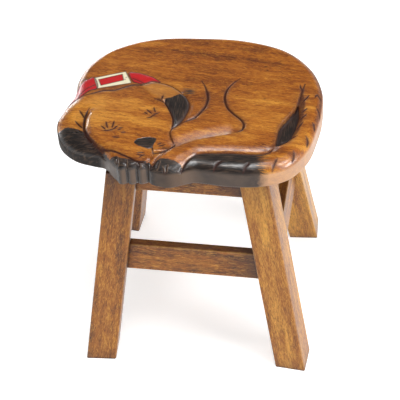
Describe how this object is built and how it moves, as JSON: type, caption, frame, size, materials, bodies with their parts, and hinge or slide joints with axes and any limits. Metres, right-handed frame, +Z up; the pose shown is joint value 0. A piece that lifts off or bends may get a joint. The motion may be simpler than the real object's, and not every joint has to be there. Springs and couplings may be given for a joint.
{
  "type": "carved footstool",
  "caption": "Low wooden footstool with a thick seat board carved as a curled-up sleeping dog, on splayed square legs tied by rails under the seat and stretchers at half height.",
  "frame": {"origin": "on the floor, under the middle of the stool's bounding box", "axes": "+Z up, -Y the front that the dog's muzzle and paws face, +X to the right as seen from the front, along the seat's length"},
  "size_m": [0.2621, 0.2302, 0.271],
  "materials": {
    "seat_wood": "orange-brown varnished hardwood, carved, with black, red and cream paint",
    "frame_wood": "brown varnished hardwood with golden figure",
    "dowel_wood": "bare pale wood",
    "screw_steel": "zinc-plated"
  },
  "bodies": {
    "root": {"seat_board": "seat_wood", "leg_front_left": "frame_wood", "leg_front_right": "frame_wood", "leg_back_left": "frame_wood", "leg_back_right": "frame_wood", "upper_rail_front": "frame_wood", "upper_rail_back": "frame_wood", "upper_rail_left": "frame_wood", "upper_rail_right": "frame_wood", "stretcher_front": "frame_wood", "stretcher_back": "frame_wood", "stretcher_left": "frame_wood", "stretcher_right": "frame_wood", "dowel_upper_rail_front_left_end": "dowel_wood", "dowel_upper_rail_front_right_end": "dowel_wood", "dowel_upper_rail_back_left_end": "dowel_wood", "dowel_upper_rail_back_right_end": "dowel_wood", "dowel_upper_rail_left_front_end": "dowel_wood", "dowel_upper_rail_left_back_end": "dowel_wood", "dowel_upper_rail_right_front_end": "dowel_wood", "dowel_upper_rail_right_back_end": "dowel_wood", "dowel_stretcher_front_left_end": "dowel_wood", "dowel_stretcher_front_right_end": "dowel_wood", "dowel_stretcher_back_left_end": "dowel_wood", "dowel_stretcher_back_right_end": "dowel_wood", "dowel_stretcher_left_front_end": "dowel_wood", "dowel_stretcher_left_back_end": "dowel_wood", "dowel_stretcher_right_front_end": "dowel_wood", "dowel_stretcher_right_back_end": "dowel_wood", "seat_screw_front_left": "screw_steel", "seat_screw_front_right": "screw_steel", "seat_screw_back_left": "screw_steel", "seat_screw_back_right": "screw_steel", "seat_screw_left_middle": "screw_steel", "seat_screw_right_middle": "screw_steel"}
  },
  "joints": []
}
